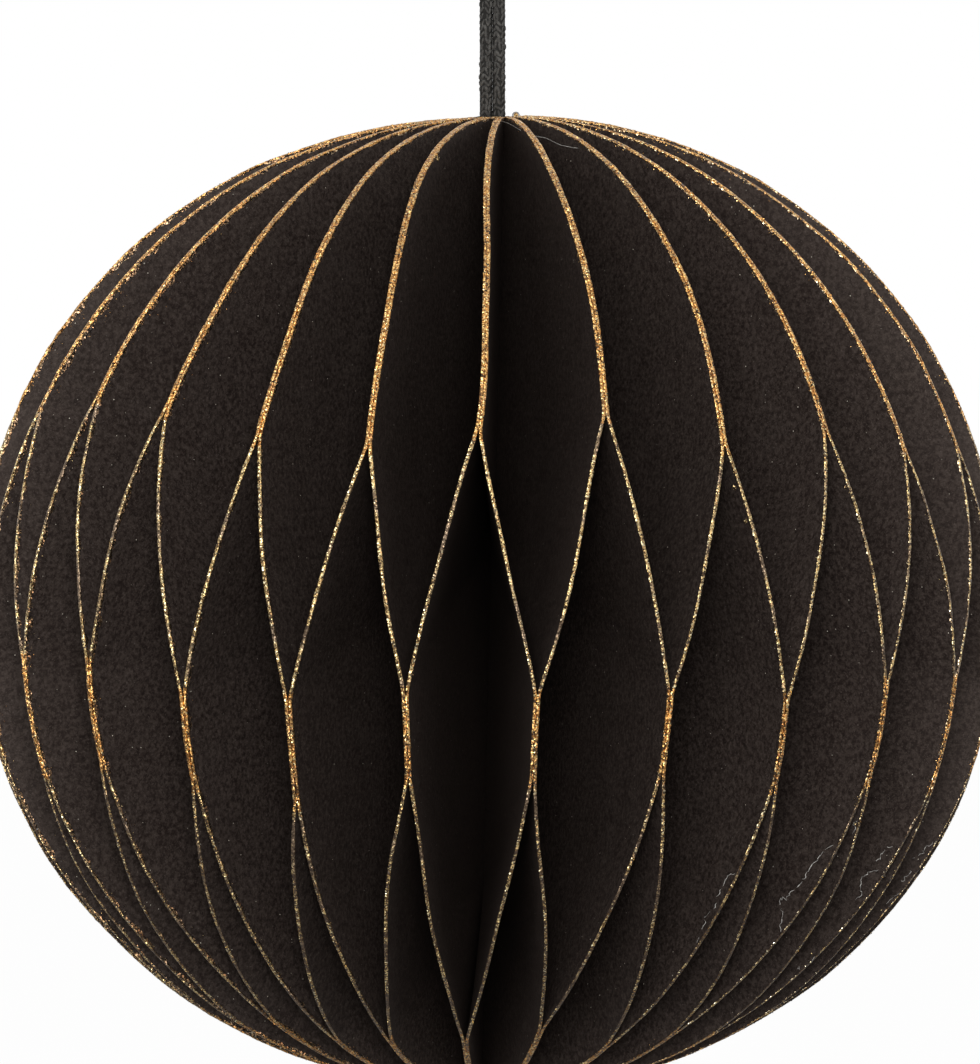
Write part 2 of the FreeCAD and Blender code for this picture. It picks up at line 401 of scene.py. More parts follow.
def knit(points, diameter, seed):
    """Knitted tube along a line: columns of V stitches over a core, which is coloured darker as
    painted shade. The core is a little wider than deep, so that no light passes between the two
    legs."""
    random = np.random.default_rng(seed)
    vertices = []
    faces = []
    count = 0
    radius = diameter / 2 * MM
    places, ways, side, depth = along(points, CORE_STEP * MM)
    ring = np.linspace(0, 2 * np.pi, CORE_RING, endpoint=False)
    core = places[:, None] + radius * (CORE_WIDE * np.cos(ring)[None, :, None] * side[:, None]
                                       + CORE_DEEP * np.sin(ring)[None, :, None] * depth[:, None])
    vertices.append(core.reshape(-1, 3))
    faces.append(grid_faces(len(places), len(ring), 0, closed=True))
    count += core.shape[0] * core.shape[1]
    places, ways, side, depth = along(points, STITCH_PITCH * MM)
    turn = np.linspace(0, 2 * np.pi, STITCH_RING, endpoint=False)
    rows = np.array(STITCH_ROWS)
    swell = np.sqrt(1 - 0.88 * rows ** 2)
    for column in range(STITCH_COLUMNS):
        for lean in (-1, 1):
            around = 2 * np.pi * (column + 0.25 * lean) / STITCH_COLUMNS + np.pi / 8
            around = around + random.normal(0, 0.12, len(places))
            out = np.cos(around)[:, None] * side + np.sin(around)[:, None] * depth
            cross = np.cross(ways, out)
            tilt = (STITCH_LEAN * lean + random.normal(0, 0.2, len(places)))[:, None]
            way = ways * np.cos(tilt) + cross * np.sin(tilt)
            wide = np.cross(out, way)
            size = random.normal(1.0, 0.2, len(places)).clip(0.5, 1.4)[:, None, None]
            reach = (diameter / 2 - STITCH_WIDTH * STITCH_REACH) * MM
            middle = places + out * reach * random.normal(1.0, 0.03, len(places))[:, None]
            line = middle[:, None] + way[:, None] * (rows * STITCH_LENGTH / 2 * MM)[None, :, None]
            line = line - out[:, None] * (0.10 * (rows + 0.3) ** 2 * MM)[None, :, None]
            radius = STITCH_WIDTH * MM * swell[None, :, None] * size
            body = (line[:, :, None]
                    + np.cos(turn)[None, None, :, None] * wide[:, None, None] * radius[..., None]
                    + np.sin(turn)[None, None, :, None] * out[:, None, None] * radius[..., None])
            for stitch in body:
                faces.append(grid_faces(len(rows), len(turn), count, closed=True))
                count += len(rows) * len(turn)
                vertices.append(stitch.reshape(-1, 3))
    return np.concatenate(vertices), faces, count


FIBRE_LENGTHS = (0.15, 0.55)
FIBRE_THICKNESS = 0.009
FIBRE_STEPS = 5


def make_fuzz(points, diameter, amount, seed):
    """Fine stray fibres that stand off a cord."""
    random = np.random.default_rng(seed)
    places, ways, side, depth = along(points, 0.1 * MM)
    vertices = []
    faces = []
    for i in range(amount):
        k = random.integers(2, len(places) - 2)
        angle = random.uniform(0, 2 * np.pi)
        out = np.cos(angle) * side[k] + np.sin(angle) * depth[k]
        length = random.uniform(*FIBRE_LENGTHS) * MM
        bend = ways[k] * random.normal(0, 1.0) + np.cross(ways[k], out) * random.normal(0, 0.8)
        t = np.linspace(0, 1, FIBRE_STEPS)[:, None]
        line = places[k] + out * (diameter / 2 * 0.9 * MM + t * length * 0.55)
        line = line + bend * t ** 1.5 * length * 0.7
        thick = FIBRE_THICKNESS * MM * (1.2 - t)
        cross = np.cross(out, bend)
        cross /= np.linalg.norm(cross)
        other = np.cross(cross, out)
        ring = [line + cross * thick, line + other * thick - cross * thick * 0.5,
                line - other * thick - cross * thick * 0.5]
        grid = np.stack(ring, axis=1)
        faces.append(grid_faces(FIBRE_STEPS, 3, i * FIBRE_STEPS * 3, closed=True))
        vertices.append(grid.reshape(-1, 3))
    return np.concatenate(vertices), faces


def link_knit(name, vertices, faces, materials):
    """Knitted piece: its first block of faces is the core between the stitches, in the second,
    darker material: painted shade.
    """
    piece = link(name, vertices, faces, materials)
    kinds = np.zeros(sum(len(block) for block in faces), dtype=np.int32)
    kinds[:len(faces[0])] = 1
    piece.data.polygons.foreach_set("material_index", kinds)
    return piece


CORD_FIBRES = 420
FRAY_HEIGHT = 2.6
FRAY_FIBRES = 40


def make_cord(materials):
    """The whole cord as one piece; the foot of its right leg is frayed."""
    points = route_points()
    vertices, faces, count = knit(points, CORD_DIAMETER, 5)
    hair, hair_faces = make_fuzz(points, CORD_DIAMETER, CORD_FIBRES, 6)
    faces += [block + count for block in hair_faces]
    count += len(hair)
    frayed = points[points[:, 2] < hang(0, FRAY_HEIGHT).z]
    exit_point = hang((CORD_ROUTE[0][0] + CORD_ROUTE[-1][0]) / 2, 0.0)
    frayed = frayed[frayed[:, 0] > exit_point.x]
    frayed = frayed[frayed[:, 2] > LEAF_RADIUS * MM]
    loose, loose_faces = make_fuzz(frayed, CORD_DIAMETER, FRAY_FIBRES, 7)
    faces += [block + count for block in loose_faces]
    cord = link_knit("hanging_cord", np.concatenate([vertices, hair, loose]), faces, materials)
    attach(cord, "root")
    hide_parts("cord_leg_left", "cord_leg_right", "cord_loop")
    knot = make_knot(materials)


KNOT_TURNS = 3.1
KNOT_BASE = 16.0
KNOT_HEIGHT = 4.2
KNOT_RADIUS = 1.52
KNOT_WAVE = 0.06


def make_knot(materials):
    """Barrel knot: the cord's own turns, wound tight round the two legs."""
    middle_x = (CORD_ROUTE[1][0] + CORD_ROUTE[-2][0]) / 2
    t = np.linspace(0, 1, 260)
    angle = 2 * np.pi * KNOT_TURNS * t + 0.6
    radius = KNOT_RADIUS + KNOT_WAVE * np.sin(angle * 2.3)
    rise = KNOT_BASE + CORD_DIAMETER / 2 + (KNOT_HEIGHT - CORD_DIAMETER) * t
    points = np.array([hang(middle_x + r * math.cos(a), z, r * math.sin(a))[:]
                       for r, a, z in zip(radius, angle, rise)])
    vertices, faces, _ = knit(points, CORD_DIAMETER, 8)
    knot = link_knit("loop_knot", vertices, faces, materials)
    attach(knot, "root")
    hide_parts("cord_knot")
    return knot


# How near points of the frame's leaf count as the same, in millimetres and in radians
SAME_PLACE = 0.002
SAME_TURN = 2e-4
LOWER_ZONE = -30


class Leaf:
    """One leaf of the frame: its spine, where its seams run and at what heights they end."""

    def __init__(self, name):
        mesh = bpy.data.objects[name].data
        points = np.empty(len(mesh.vertices) * 3)
        mesh.vertices.foreach_get("co", points)
        points = np.unique(np.round(points.reshape(-1, 3) / MM, 4), axis=0)
        reach = np.hypot(points[:, 0], points[:, 1])
        on_spine = reach < reach.min() + 0.02
        self.spine = points[on_spine][:, :2].mean(axis=0)
        self.spine_heights = np.unique(np.round(points[on_spine][:, 2], 2))
        self.azimuth = math.atan2(self.spine[0], -self.spine[1])
        rim = points[~on_spine]
        heights = np.unique(np.round(rim[:, 2], 3))
        middles = np.array([rim[np.abs(rim[:, 2] - h) < SAME_PLACE][:, :2].mean(axis=0)
                            for h in heights])
        away = middles - self.spine
        turn = np.arctan2(away[:, 0], -away[:, 1]) - self.azimuth
        self.turn = (turn + np.pi) % (2 * np.pi) - np.pi
        self.upper = self.turn[-1]
        self.lower = self.turn[0]
        self.middle = self.turn[np.argmin(np.abs(heights - MIDDLE_SEAM_CENTRE))]
        self.side = 1 if self.upper > self.middle else -1
        upper_zone = heights[self.near(self.upper) & (heights > 0)]
        lower_zone = heights[self.near(self.lower) & (heights < LOWER_ZONE)]
        middle_zone = heights[self.near(self.middle)]
        self.ends = [upper_zone.min(), middle_zone.max(), middle_zone.min(), lower_zone.max()]

    def near(self, turn):
        return np.abs(self.turn - turn) < SAME_TURN


def wander(count, spread, seed):
    """Slow uneven curve along a seam: a few waves with their own phases."""
    random = np.random.default_rng(seed)
    waves = 2 * np.pi / random.uniform(13, 45, count)
    phases = random.uniform(0, 2 * np.pi, count)
    sizes = random.normal(0, spread / math.sqrt(count), count)
    return lambda z: sum(a * np.sin(k * z + p) for a, k, p in zip(sizes, waves, phases))


# Bends of the upper seams, one value for each pair from the front: how far each turns in
# degrees at its pole, and how far it bows out between its pole and its split
POLE_BEND = [-2.0, -2.0, 0.9, -0.6, -1.8, -1.0, 0.8, 1.6, -0.7, -1.9, 0.5, 2.1, 1.2,
             -0.4, -1.6, -0.9, 1.1, 2.3, 0.6, -0.8, -1.5, -1.5, -3.3, -4.9, -5.4]
SEAM_BOW = [0.4, 0.3, 0.9, 0.2, -0.7, 0.3, -0.5, 0.4, 0.8, -0.2, -0.6, 0.3, 0.7,
            -0.4, 0.2, 0.6, -0.3, -0.7, 0.5, 0.2, 0.8, 0.9, 1.2, 0.5, -0.3]
BEND_START = 20.0

# How far the ball stands out past its round at each height, by its own weight, for the
# leaves out to the left and out to the right
SWELL_HEIGHTS = [-48.0, -44.0, -40.0, -36.5, -32.5, -28.6, -24.6, -20.0, -16.7, 0.0, 15.0, 22.9,
                 26.9, 30.9, 34.8, 38.8, 42.7, 45.0, 48.0]
SWELL_LEFT = [0.0, 0.11, 0.30, 0.26, 0.30, 0.64, 0.85, 0.95, 1.0, 0.7, 0.47, 0.50, 0.41, 0.30, 0.27,
              0.06, -0.10, -0.38, -0.35]
SWELL_RIGHT = [0.0, 0.07, 0.05, 0.19, 0.22, 0.32, 0.50, 0.62, 0.70, 0.45, 0.28, 0.35, 0.41, 0.38,
               0.41, 0.30, 0.33, 0.25, 0.15]

RIM_SAMPLES = 201
RULE_STEPS = np.array([0.0, 0.3, 0.55, 0.75, 0.88, 0.96, 1.0])
RULE_ROUNDING = np.array([6.0, 6.0, 5.0, 3.6, 2.2, 1.1, 0.6])
COAT_SAMPLES = 521
SEAM_WANDER = 0.0025
LEAF_WANDER = 0.003
ROUNDING_STEPS = np.linspace(-1, 1, 9)
POLE_FADE = 12.0


def fan(leaf, z, start, end, crease):
    """Turn of the rim where the leaf crosses over, a flat part that slants from the crease."""
    ends = []
    for height, turn in (start, end):
        reach = math.sqrt(LEAF_RADIUS ** 2 - height ** 2)
        ends.append((reach * math.cos(turn), height - crease, reach * math.sin(turn)))
    slope, rise = np.linalg.solve([ends[0][:2], ends[1][:2]], [ends[0][2], ends[1][2]])
    z = np.clip(z, min(start[0], end[0]), max(start[0], end[0]))
    reach = np.sqrt(LEAF_RADIUS ** 2 - z ** 2)
    return np.arctan(slope) + np.arcsin(rise * (z - crease) / (reach * math.hypot(1, slope)))


class Shape:
    """Smooth form of a leaf: turn of the rim and foot of the ruling at every height."""

    def __init__(self, leaf, index):
        self.leaf = leaf
        pole_pair = self.pole_pair = index // 2
        middle_pair = (index - 1) // 2 % (len(LEAVES) // 2)
        self.pole_wander = wander(5, SEAM_WANDER, 100 + pole_pair)
        self.middle_wander = wander(5, SEAM_WANDER, 200 + middle_pair)
        self.own_wander = wander(4, LEAF_WANDER, 300 + index)

    def seam(self, z):
        """How far a height is inside the pole seams and inside the middle seam, 0 to 1."""
        split, join, part, meet = self.leaf.ends
        pole = np.interp(z, [meet, part, join, split], [1.0, 0.0, 0.0, 1.0])
        middle = np.interp(z, [meet, part, join, split], [0.0, 1.0, 1.0, 0.0])
        return pole, middle

    def flat_turn(self, z):
        """Turn of the rim against the spine, as the leaf's five flat parts have it."""
        leaf = self.leaf
        split, join, part, meet = leaf.ends
        low, high = leaf.spine_heights[1], leaf.spine_heights[2]
        turn = np.where(z > 0, leaf.upper, leaf.lower)
        crossing = fan(leaf, z, (split, leaf.upper), (join, leaf.middle), high)
        turn = np.where((z < split) & (z > join), crossing, turn)
        turn = np.where((z <= join) & (z >= part), leaf.middle, turn)
        crossing = fan(leaf, z, (part, leaf.middle), (meet, leaf.lower), low)
        return np.where((z < part) & (z > meet), crossing, turn)

    def turn(self, z, rounding):
        leaf = self.leaf
        total = sum(self.flat_turn(z + step * rounding) for step in ROUNDING_STEPS)
        total /= len(ROUNDING_STEPS)
        pole, middle = self.seam(z)
        free = np.clip(1 - pole - middle, 0, 1) + 4 * pole * middle
        fade = np.clip((LEAF_RADIUS - np.abs(z)) / POLE_FADE, 0, 1)
        total += fade * (pole * self.pole_wander(z) + middle * self.middle_wander(z))
        total += fade * np.clip(free, 0, 1) * self.own_wander(z)
        high = np.clip((z - BEND_START) / (LEAF_RADIUS - 2 - BEND_START), 0, 1.1)
        total += math.radians(POLE_BEND[self.pole_pair]) * high ** 3
        bow = np.sin(np.pi * np.clip((z - BEND_START + 2) / (LEAF_RADIUS + 2 - BEND_START), 0, 1))
        total += math.radians(SEAM_BOW[self.pole_pair]) * bow
        return total + leaf.azimuth

    def foot(self, z):
        leaf = self.leaf
        split, join, part, meet = leaf.ends
        low, high = leaf.spine_heights[1], leaf.spine_heights[2]
        return np.interp(z, [-LEAF_RADIUS, meet, part, join, split, LEAF_RADIUS],
                         [-LEAF_RADIUS, low, low, high, high, LEAF_RADIUS])

    def rim(self, fall, rounding=0.6):
        """Rim point at each fall from the top pole, with its outward direction and height."""
        z = LEAF_RADIUS * np.cos(fall)
        angle = self.turn(z, rounding)
        level = np.stack([np.sin(angle), -np.cos(angle), np.zeros_like(z)], axis=1)
        base = np.array([*self.leaf.spine, 0.0])
        out = level * np.sin(fall)[:, None]
        out[:, 2] = np.cos(fall)
        swell = np.interp(z, SWELL_HEIGHTS, SWELL_RIGHT if self.leaf.azimuth > 0 else SWELL_LEFT)
        reach = LEAF_RADIUS + swell * math.sin(self.leaf.azimuth) ** 2
        return base + out * reach[:, None], out, z

    def across(self):
        a = self.leaf.azimuth
        return np.array([math.cos(a), math.sin(a), 0.0])


# Glue fills the hair's breadth between the leaves at the core
SPINE_GLUE = 0.007


def leaf_card(shape):
    """Both faces of the card as ruled sheets, joined round the rim. The folds are sharp at
    the rim and soften towards the spine."""
    fall = np.linspace(0, np.pi, RIM_SAMPLES)
    z = LEAF_RADIUS * np.cos(fall)
    foot = np.stack([np.full_like(z, shape.leaf.spine[0]), np.full_like(z, shape.leaf.spine[1]),
                     shape.foot(z)], axis=1)
    columns = [foot + (shape.rim(fall, rounding)[0] - foot) * step
               for step, rounding in zip(RULE_STEPS, RULE_ROUNDING)]
    sheet = np.stack(columns, axis=1)
    half = np.full(len(RULE_STEPS), CARD_THICKNESS / 2)
    half[0] += SPINE_GLUE
    half = shape.across()[None, None] * half[None, :, None]
    left = (sheet - half).reshape(-1, 3)
    right = (sheet + half).reshape(-1, 3)
    rows, columns = len(fall), len(RULE_STEPS)
    size = rows * columns
    faces = [grid_faces(rows, columns), grid_faces(rows, columns, size)[:, ::-1]]
    sides = np.array([-1.0, 1.0])[None, :, None]
    rim = (sheet[:, -1:] + half[:, -1:] * sides).reshape(-1, 3)
    spine = (sheet[:, :1] + half[:, :1] * sides).reshape(-1, 3)
    faces.append(grid_faces(rows, 2, 2 * size))
    faces.append(grid_faces(rows, 2, 2 * size + 2 * rows)[:, ::-1])
    return np.concatenate([left, right, rim, spine]), faces


# The brush left more on each leaf's far face than on its near one, counted round
COAT_DEPTH = {-1: 0.12, 1: 0.34}
COAT_EDGE = 0.36
COAT_THICKNESS = 0.040
FLAKES_ON_COAT = 900
FLAKES_BESIDE = 1400
FAR_FACE_SHARE = 0.72
FLAKE_SIZE = (0.03, 0.085)

# From how much of a seam on its coat counts as glued, and its flakes keep to one face
GLUED = 0.97
ONE_FACED = 0.9

# Thick clumps of glitter on the rims: a pixel of each in the photograph, with its radius
CLUMPS = [((437, 158), 0.30), ((614, 171), 0.24), ((94, 701), 0.26), ((735, 487), 0.30),
          ((902, 454), 0.24), ((846, 487), 0.22), ((856, 824), 0.26), ((746, 521), 0.22)]
CLUMP_FLAKES = 90


def plenty(z, azimuth):
    """Share of the glitter that a place caught: all of it above, less below and to the right."""
    low = 0.62 - 0.22 * math.sin(azimuth)
    return np.interp(z, [-26.0, -4.0], [low, 1.0])


def smooth_noise(random, length, every, spread):
    """Random values that change smoothly along the rim."""
    knots = random.normal(0, spread, int(length / every) + 4)
    return np.interp(np.arange(length), np.arange(len(knots)) * every, knots)


def leaf_coat(shape, index):
    """Crust of glue and glitter round the rim, thin where two leaves are glued together. It
    gives the points, then the faces of the glued seams, of the free rims and of the spill."""
    random = np.random.default_rng(500 + index)
    fall = np.linspace(0, np.pi, COAT_SAMPLES)
    rim, out, z = shape.rim(fall)
    pole, middle = shape.seam(z)
    side = shape.leaf.side
    glued = {side: pole > GLUED, -side: middle > GLUED}
    caught = plenty(z, shape.leaf.azimuth)
    swell = np.clip(1 + smooth_noise(random, COAT_SAMPLES, 6, 0.65), 0.15, 2.8) * caught
    half = CARD_THICKNESS / 2
    rings = []
    for across, depth, lift in ((-1, -1.0, 0.02), (-1, -COAT_EDGE, 0.75), (-1, 0.0, 0.5),
                                (0, 0.0, 0.0),
                                (1, 0.0, 0.5), (1, -COAT_EDGE, 0.75), (1, -1.0, 0.02)):
        grit = np.clip(random.normal(1, 0.3, COAT_SAMPLES), 0.3, 1.8)
        thick = COAT_THICKNESS * swell * grit
        if across == 0:
            outward, sideways = thick, random.normal(0, 0.03, COAT_SAMPLES)
        else:
            spread = np.clip(1 + smooth_noise(random, COAT_SAMPLES, 3, 0.5), 0.35, 2.2)
            outward = depth * COAT_DEPTH[across] * spread * caught
            if depth == 0.0:
                outward = thick * 0.55
            sideways = np.where(glued[across], half + 0.004, half + thick * lift + 0.002) * across
        rings.append(rim + out * outward[:, None] + shape.across() * sideways[:, None])
    grid = np.stack(rings, axis=1)
    faces = grid_faces(COAT_SAMPLES, len(rings))[:, ::-1]
    strips = len(rings) - 1
    strip = np.arange(len(faces)) % strips
    joined = (glued[1] | glued[-1])[np.arange(len(faces)) // strips]
    spill = (strip == 0) | (strip == strips - 1)
    return grid.reshape(-1, 3), faces[joined & ~spill], faces[~joined & ~spill], faces[spill]


def leaf_flakes(shape, index):
    """Single grains: some lie on the coat, others have spilled onto the card beside it. It
    gives the points, then the faces at the glued seams and at the free rims."""
    random = np.random.default_rng(900 + index)
    count = FLAKES_ON_COAT + FLAKES_BESIDE
    fall = random.uniform(0.02, 3.12, count)
    beside = np.arange(count) >= FLAKES_ON_COAT
    kept = random.uniform(size=count) < plenty(LEAF_RADIUS * np.cos(fall), shape.leaf.azimuth)
    fall, beside = fall[kept], beside[kept]
    count = len(fall)
    rim, out, z = shape.rim(fall)
    pole, middle = shape.seam(z)
    angle = random.uniform(-np.pi / 2, np.pi / 2, count)
    half = CARD_THICKNESS / 2
    across = np.sin(angle) * (half + 0.01)
    outward = np.cos(angle) * COAT_THICKNESS * random.uniform(0.6, 1.8, count) - 0.01
    either = np.where(random.uniform(size=count) < FAR_FACE_SHARE, 1, -1)
    open_side = np.where(middle > ONE_FACED, shape.leaf.side, either)
    open_side = np.where(pole > ONE_FACED, -shape.leaf.side, open_side)
    knots = np.clip(random.normal(1.0, 0.55, 40), 0.15, 2.6)
    clump = np.interp(fall, np.linspace(0, np.pi, len(knots)), knots)
    near = random.uniform(size=count) < 0.7
    depth = random.exponential(1, count) * np.where(near, 0.10, 0.24) * clump
    depth = -0.03 - depth * np.where(open_side > 0, 1.5, 0.6)
    across = np.where(beside, open_side * (half + 0.008), across)
    outward = np.where(beside, depth, outward)
    turned = across * shape.leaf.side
    blocked = (~beside) & (((pole > ONE_FACED) & (turned > half * 0.9))
                           | ((middle > ONE_FACED) & (turned < -half * 0.9)))
    across = np.where(blocked, -across, across)
    centre = rim + out * outward[:, None] + shape.across() * across[:, None]
    normal = np.where(beside[:, None], shape.across()[None] * open_side[:, None],
                      out * np.cos(angle)[:, None] + shape.across() * np.sin(angle)[:, None])
    size = random.uniform(*FLAKE_SIZE, count) * np.where(beside, 0.85, 1.0)
    vertices, faces = grains(random, centre, normal, size)
    joined = (pole > GLUED) | (middle > GLUED)
    return vertices, faces[joined], faces[~joined]


def grains(random, centre, normal, size):
    """Flat grain of glitter at each centre, tipped a little off its normal."""
    normal = normal + random.normal(0, 0.4, normal.shape)
    normal /= np.linalg.norm(normal, axis=1)[:, None]
    helper = np.cross(normal, random.normal(0, 1, normal.shape))
    helper /= np.linalg.norm(helper, axis=1)[:, None]
    other = np.cross(normal, helper)
    size = size[:, None]
    corners = [centre + helper * size, centre + other * size * 0.8, centre - helper * size,
               centre - other * size * 0.8]
    vertices = np.stack(corners, axis=1).reshape(-1, 3)
    return vertices, np.arange(len(vertices)).reshape(-1, 4)


def clump_mesh(centre, radius, seed):
    """Ball of grains that lie every way."""
    random = np.random.default_rng(seed)
    way = random.normal(0, 1, (CLUMP_FLAKES, 3))
    way /= np.linalg.norm(way, axis=1)[:, None]
    reach = radius * random.uniform(0.2, 1.0, CLUMP_FLAKES)[:, None] ** 0.5
    return grains(random, centre + way * reach * np.array([0.8, 0.8, 1.2]), way,
                  random.uniform(*FLAKE_SIZE, CLUMP_FLAKES) * 1.1)


# Threads of dried glue and lint on the front of the ball, each along the pixels of the
# photograph where it lies, with its thickness in millimetres
GLUE_THREADS = [
    [(738, 872), (727, 877), (723, 886), (718, 896), (715, 907), (709, 913), (706, 918),
     (703, 932), (697, 943)],
    [(833, 845), (823, 851), (817, 861), (811, 868), (805, 877), (801, 884), (795, 889),
     (787, 897), (781, 900), (780, 907), (783, 914), (781, 925), (780, 934)],
    [(893, 848), (884, 849), (881, 857), (876, 862)],
    [(879, 870), (869, 872), (862, 878), (860, 888), (862, 893), (856, 901)],
    [(932, 842), (925, 849), (919, 855), (912, 860)],
    [(912, 869), (905, 879), (898, 883), (892, 887)],
    [(900, 893), (892, 897), (887, 905)],
    [(823, 952), (812, 961), (803, 964), (797, 969), (798, 974), (791, 980)],
    [(857, 819), (853, 823), (856, 827), (852, 833)],
]
GLUE_THREAD = 0.048
THREAD_JAG = 0.9
THREAD_BREAKS = 0.11

# Fine fibre that lies over the rims beside the cord, and a bead of glitter with a dark curl
HAIR_PIXELS = [(501, 121), (508, 123), (515, 127), (527, 134), (537, 136.5), (546, 138),
               (560, 145), (575, 148), (590, 149)]
HAIR_THREAD = 0.024
HAIR_LEAF = 3
HAIR_LIFT = 0.07
BEAD_PIXEL = (516, 114)
BEAD_RADIUS = 0.27
BEAD_LEAF = 13
CURL_THREAD = 0.035


def thin_tube(points, radii):
    """Four-sided tube through points, for a thread."""
    points = np.asarray(points, dtype=float)
    ways = np.gradient(points, axis=0)
    ways /= np.linalg.norm(ways, axis=1)[:, None] + 1e-9
    first = np.cross(ways, [0.3, 0.9, 0.31])
    first /= np.linalg.norm(first, axis=1)[:, None]
    second = np.cross(ways, first)
    radii = np.asarray(radii)[:, None]
    ring = [points + first * radii, points + second * radii, points - first * radii,
            points - second * radii]
    return np.stack(ring, axis=1).reshape(-1, 3), grid_faces(len(points), 4, 0, closed=True)


def threads_and_clumps(view, shapes):
    """Threads and clumps on the leaf that the camera meets at their pixels, by leaf number."""
    vertices = []
    polygons = []
    owners = []
    for number, shape in enumerate(shapes):
        points, blocks = leaf_card(shape)
        first = len(vertices)
        vertices += points.tolist()
        for block in blocks:
            polygons += (block + first).tolist()
            owners += [number] * len(block)
    tree = BVHTree.FromPolygons(vertices, polygons)
    random = np.random.default_rng(71)
    threads = {}
    for pixels in GLUE_THREADS:
        pixels = np.array(pixels, dtype=float)
        steps = np.arange(0, len(pixels) - 1, 0.22)
        jag = random.normal(0, THREAD_JAG, (len(steps), 2))
        line = np.stack([np.interp(steps, np.arange(len(pixels)), pixels[:, i]) for i in (0, 1)],
                        axis=1) + jag
        run = []
        owner = None
        for x, y in line:
            hit, normal, face, _ = tree.ray_cast(view.place, view.way(x, y))
            found = None if hit is None else owners[face]
            if normal is not None and normal.dot(view.sight) > 0:
                normal = -normal
            if owner is not None and found != owner or random.uniform() < THREAD_BREAKS:
                if len(run) > 2:
                    threads.setdefault(owner, []).append(run)
                run = []
            owner = found
            if found is not None:
                run.append((hit + normal * GLUE_THREAD * 0.7)[:])
        if len(run) > 2 and owner is not None:
            threads.setdefault(owner, []).append(run)
    clumps = {}
    for pixel, radius in CLUMPS:
        hit, _, face, _ = tree.ray_cast(view.place, view.way(*pixel))
        if hit is not None:
            clumps.setdefault(owners[face], []).append((np.array(hit[:]), radius))
    return threads, clumps


def on_round(view, pixel, reach):
    """Point seen at a pixel, on a ball of that radius or where the sight grazes it."""
    way = view.way(*pixel)
    ahead = view.place.dot(way)
    drop = ahead ** 2 - view.place.length_squared + reach ** 2
    point = view.place + way * (-ahead - math.sqrt(max(drop, 0.0)))
    return point.normalized() * reach


def hair_mesh(view):
    """Fine fibre that rests on the rims near the top."""
    reach = LEAF_RADIUS + HAIR_LIFT
    points = np.array([on_round(view, pixel, reach)[:] for pixel in HAIR_PIXELS])
    steps = np.linspace(0, len(points) - 1, 60)
    line = [np.interp(steps, np.arange(len(points)), points[:, i]) for i in range(3)]
    line = np.stack(line, axis=1)
    line[1:-1] = (line[:-2] + line[1:-1] + line[2:]) / 3
    return thin_tube(line, np.full(len(line), HAIR_THREAD))


def bead_meshes(view):
    """Small round bead of glitter glue on the top, and the dark curl of fibre over it."""
    centre = np.array(on_round(view, BEAD_PIXEL, LEAF_RADIUS + BEAD_RADIUS * 0.8)[:])
    rows, columns = 9, 12
    fall = np.linspace(0, np.pi, rows)[:, None]
    turn = np.linspace(0, 2 * np.pi, columns, endpoint=False)
    ball = np.stack([np.sin(fall) * np.cos(turn), np.sin(fall) * np.sin(turn),
                     np.cos(fall) * np.ones_like(turn)], axis=2)
    yield (SEAM_GOLD, centre + ball.reshape(-1, 3) * BEAD_RADIUS,
           grid_faces(rows, columns, 0, closed=True)[:, ::-1])
    t = np.linspace(-2.3, 2.0, 24)[:, None]
    right, up = np.array(view.right[:]), np.array(view.up[:])
    reach = BEAD_RADIUS + CURL_THREAD + 0.05 * np.abs(t) / 2
    curl = centre + (np.sin(t) * right + np.cos(t) * up) * reach
    yield (CARD, *thin_tube(curl, np.full(len(curl), CURL_THREAD)))


def thread_meshes(threads, random):
    for run in threads:
        run = np.array(run)
        radii = GLUE_THREAD * random.uniform(0.3, 1.2, len(run))
        radii[0] = radii[-1] = GLUE_THREAD * 0.2
        yield thin_tube(run, radii)


def make_leaf(view, name, index, shape, threads, clumps, materials):
    """One leaf with its glitter, and what clings to it."""
    vertices = []
    faces = []
    kinds = []
    count = 0
    points, blocks = leaf_card(shape)
    parts = [(points, [(CARD, block) for block in blocks])]
    points, joined, free, spill = leaf_coat(shape, index)
    parts.append((points, [(SEAM_GOLD, joined), (RIM_GOLD, free), (SPILLED_GOLD, spill)]))
    points, joined, free = leaf_flakes(shape, index)
    parts.append((points, [(SEAM_GOLD, joined), (RIM_GOLD, free)]))
    for points, block in thread_meshes(threads, np.random.default_rng(40 + index)):
        parts.append((points, [(LINT, block)]))
    for number, (centre, radius) in enumerate(clumps):
        points, block = clump_mesh(centre, radius, 60 + 10 * index + number)
        parts.append((points, [(RIM_GOLD, block)]))
    if index == HAIR_LEAF:
        points, block = hair_mesh(view)
        parts.append((points, [(LINT, block)]))
    if index == BEAD_LEAF:
        parts += [(points, [(kind, block)]) for kind, points, block in bead_meshes(view)]
    for points, blocks in parts:
        for kind, block in blocks:
            faces.append(block + count)
            kinds += [kind] * len(block)
        vertices.append(points)
        count += len(points)
    piece = link("card_" + name, np.concatenate(vertices) * MM, faces, materials)
    piece.data.polygons.foreach_set("material_index", np.array(kinds, dtype=np.int32))
    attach(piece, "root")
    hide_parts(name)


FLOOR_DROP = 160.0
FLOOR_SIZE = 6.0
FLOOR_WHITE_SHARE = 0.98


